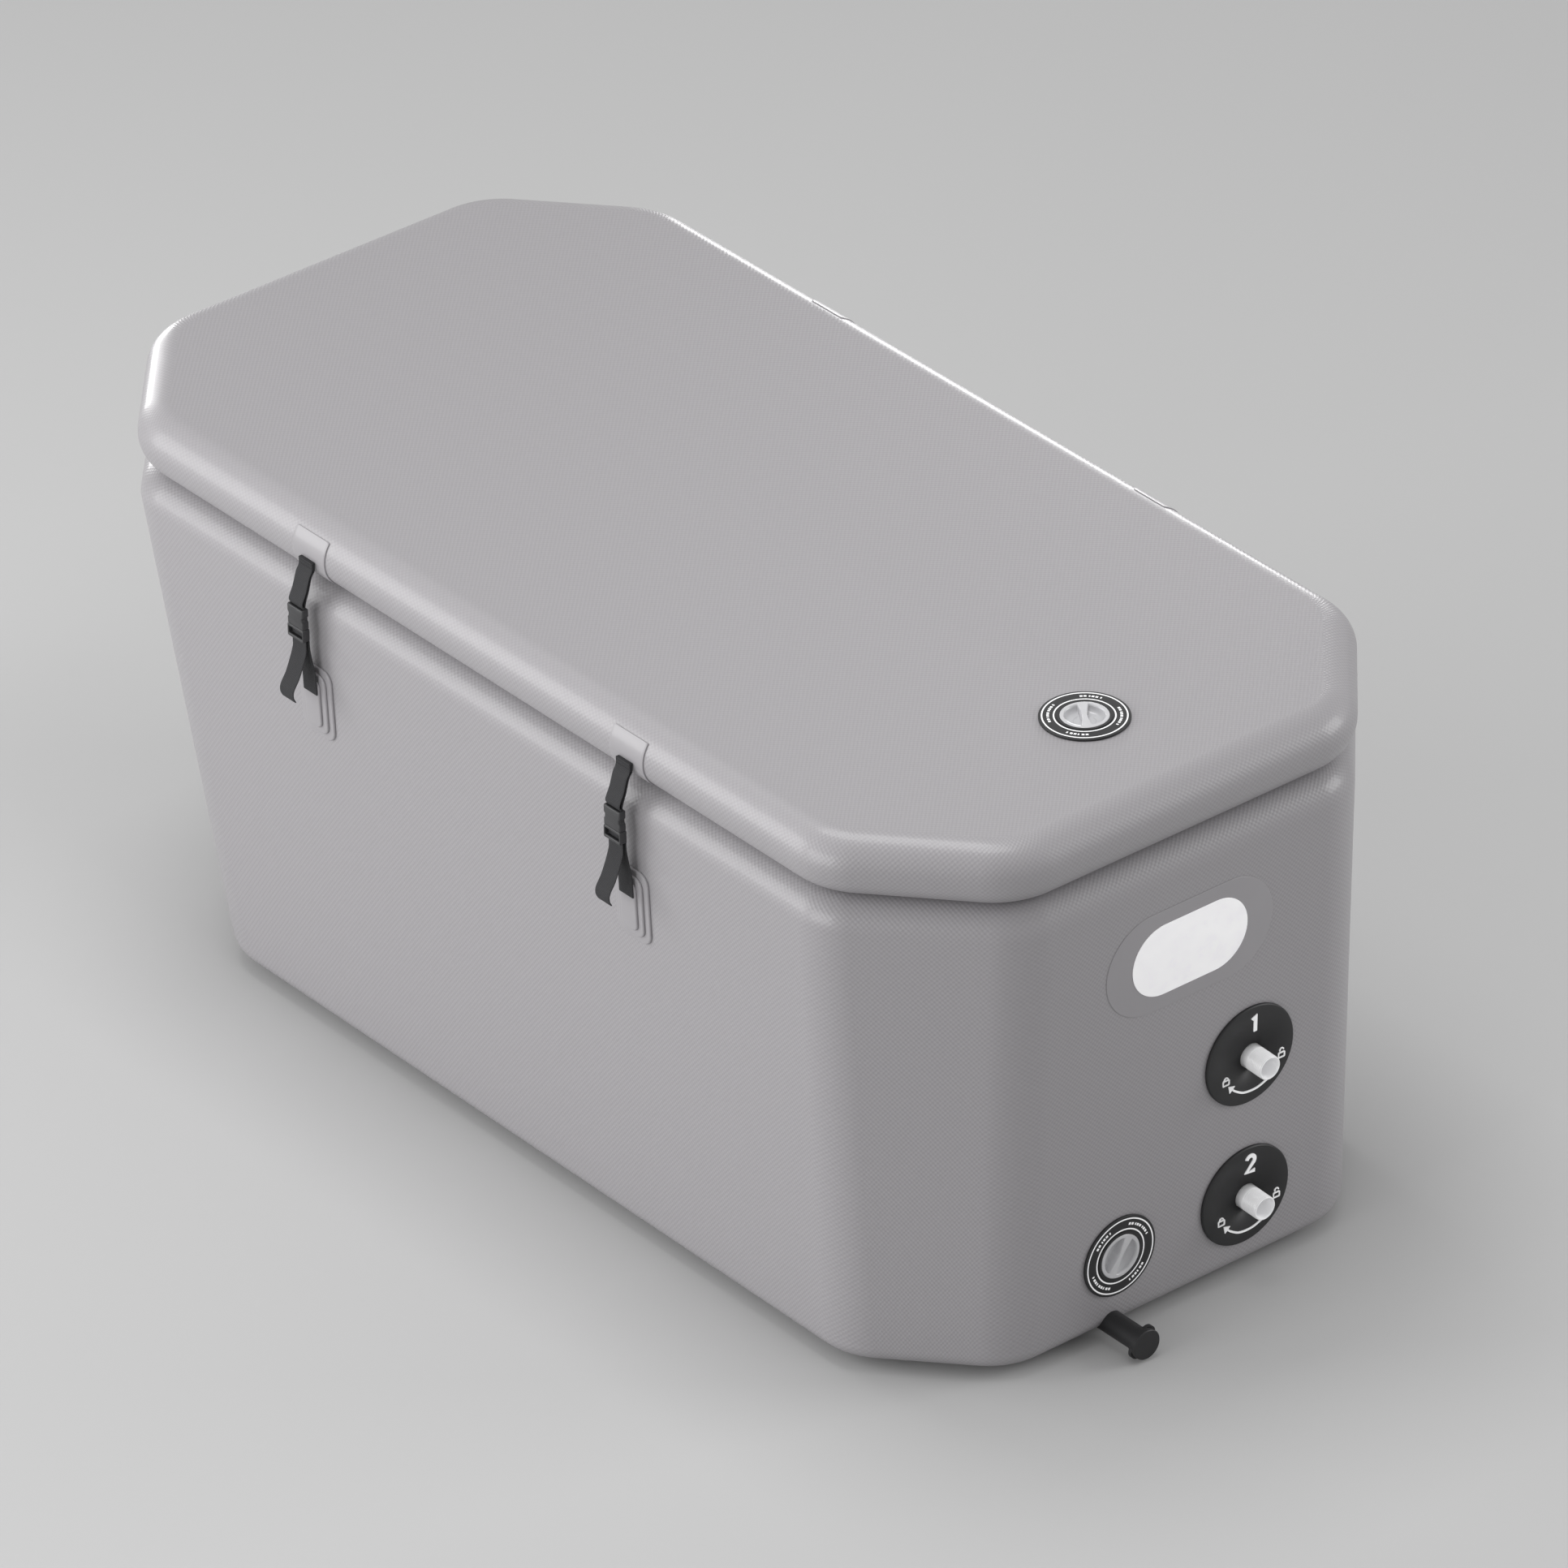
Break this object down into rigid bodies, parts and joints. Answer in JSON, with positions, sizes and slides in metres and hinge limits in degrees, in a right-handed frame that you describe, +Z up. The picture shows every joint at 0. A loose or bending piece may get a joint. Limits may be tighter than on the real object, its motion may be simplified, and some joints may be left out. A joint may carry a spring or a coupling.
{
  "type": "cold plunge tub",
  "caption": "Inflatable eight-sided cold plunge tub with a hinged slab lid, buckle straps, twist-lock hose ports, air valves and a foot drain.",
  "frame": {"origin": "on the floor, under the centre of the lid", "axes": "+X towards the port end along the length, -Y towards the strap side, +Z up"},
  "size_m": [1.6395, 0.8411, 0.7162],
  "materials": {
    "drop_stitch": "matt",
    "grey_pvc": "satin coated",
    "liner_pvc": "satin coated",
    "patch_pvc": "satin coated",
    "pad_foam": "matt",
    "white_panel": "smooth",
    "webbing": "woven",
    "buckle_plastic": "satin",
    "spring_steel": "wire",
    "seal_rubber": "matt",
    "white_plastic": "smooth",
    "black_plastic": "fine grain"
  },
  "bodies": {
    "tub": {"tub_core": "drop_stitch", "floor_core": "drop_stitch", "tub_outer_skin": "grey_pvc", "tub_inner_liner": "liner_pvc", "base_pad": "pad_foam", "badge_patch": "patch_pvc", "badge_panel": "white_panel", "port_a_plate": "black_plastic", "port_a_sleeve": "black_plastic", "port_a_nut": "black_plastic", "port_a_gasket": "seal_rubber", "port_a_strainer": "black_plastic", "port_b_plate": "black_plastic", "port_b_sleeve": "black_plastic", "port_b_nut": "black_plastic", "port_b_gasket": "seal_rubber", "port_b_strainer": "black_plastic", "wall_valve_flange": "black_plastic", "wall_valve_body": "black_plastic", "wall_valve_nut": "black_plastic", "wall_valve_spring": "spring_steel", "drain_inlet": "black_plastic", "drain_strainer": "black_plastic", "drain_pipe": "black_plastic", "wall_front_patches": "patch_pvc", "tub_hinge_flaps": "patch_pvc", "lower_webbing_left": "webbing", "lower_webbing_right": "webbing"},
    "lid": {"lid_valve_flange": "black_plastic", "lid_valve_body": "black_plastic", "lid_valve_nut": "black_plastic", "lid_valve_spring": "spring_steel", "lid_core": "drop_stitch", "lid_top_skin": "grey_pvc", "lid_bottom_skin": "liner_pvc", "lid_edge_band": "grey_pvc", "lid_front_patches": "patch_pvc", "lid_hinge_flaps": "patch_pvc", "upper_webbing_left": "webbing", "upper_webbing_right": "webbing", "buckle_socket_left": "buckle_plastic", "buckle_socket_right": "buckle_plastic"},
    "port_a_twist_connector": {"port_a_connector": "white_plastic", "port_a_o_ring": "seal_rubber"},
    "port_b_twist_connector": {"port_b_connector": "white_plastic", "port_b_o_ring": "seal_rubber"},
    "lid_cap": {"lid_valve_cap": "white_plastic", "lid_valve_gasket": "seal_rubber"},
    "wall_cap": {"wall_valve_cap": "white_plastic", "wall_valve_gasket": "seal_rubber"},
    "lid_stem": {"lid_valve_stem": "white_plastic"},
    "wall_stem": {"wall_valve_stem": "white_plastic"},
    "drain_screw_cap": {"drain_cap": "black_plastic", "drain_cap_washer": "seal_rubber"},
    "left_clip": {"buckle_clip_left": "buckle_plastic"},
    "right_clip": {"buckle_clip_right": "buckle_plastic"}
  },
  "joints": [
    {"name": "lid_hinge", "type": "hinge", "parent": "tub", "child": "lid", "pos_m": [0, 0.4001, 0.6341], "axis": [-1, 0, 0], "range_deg": [0, 100]},
    {"name": "left_clip_release", "type": "slide", "parent": "tub", "child": "left_clip", "axis": [0, 0, -1], "range_m": [0, 0.022], "deforming": ["lower_webbing_left"]},
    {"name": "right_clip_release", "type": "slide", "parent": "tub", "child": "right_clip", "axis": [0, 0, -1], "range_m": [0, 0.022], "deforming": ["lower_webbing_right"]},
    {"name": "port_a_twist", "type": "hinge", "parent": "tub", "child": "port_a_twist_connector", "pos_m": [0.78818, 0.0945, 0.308], "axis": [0.9992, 0, -0.0394], "range_deg": [0, 120]},
    {"name": "port_b_twist", "type": "hinge", "parent": "tub", "child": "port_b_twist_connector", "pos_m": [0.78052, 0.0945, 0.114], "axis": [0.9992, 0, -0.0394], "range_deg": [0, 120]},
    {"name": "lid_cap_twist", "type": "hinge", "parent": "lid", "child": "lid_cap", "pos_m": [0.616, 0, 0.7122], "axis": [0, 0, 1], "range_deg": [0, 90]},
    {"name": "wall_cap_twist", "type": "hinge", "parent": "tub", "child": "wall_cap", "pos_m": [0.78045, -0.093, 0.112], "axis": [0.9992, 0, -0.0394], "range_deg": [0, 90]},
    {"name": "lid_stem_press", "type": "slide", "parent": "lid", "child": "lid_stem", "axis": [0, 0, -1], "range_m": [0, 0.005], "stiffness_N_per_m": 400, "springref_m": -0.006, "deforming": ["lid_valve_spring"]},
    {"name": "wall_stem_press", "type": "slide", "parent": "tub", "child": "wall_stem", "axis": [-0.9992, 0, 0.0394], "range_m": [0, 0.005], "stiffness_N_per_m": 400, "springref_m": -0.006, "deforming": ["wall_valve_spring"]},
    {"name": "drain_cap_turn", "type": "hinge", "parent": "tub", "child": "drain_screw_cap", "pos_m": [0.8395, -0.101, 0.0225], "axis": [1, 0, 0], "range_deg": [0, 360]}
  ]
}
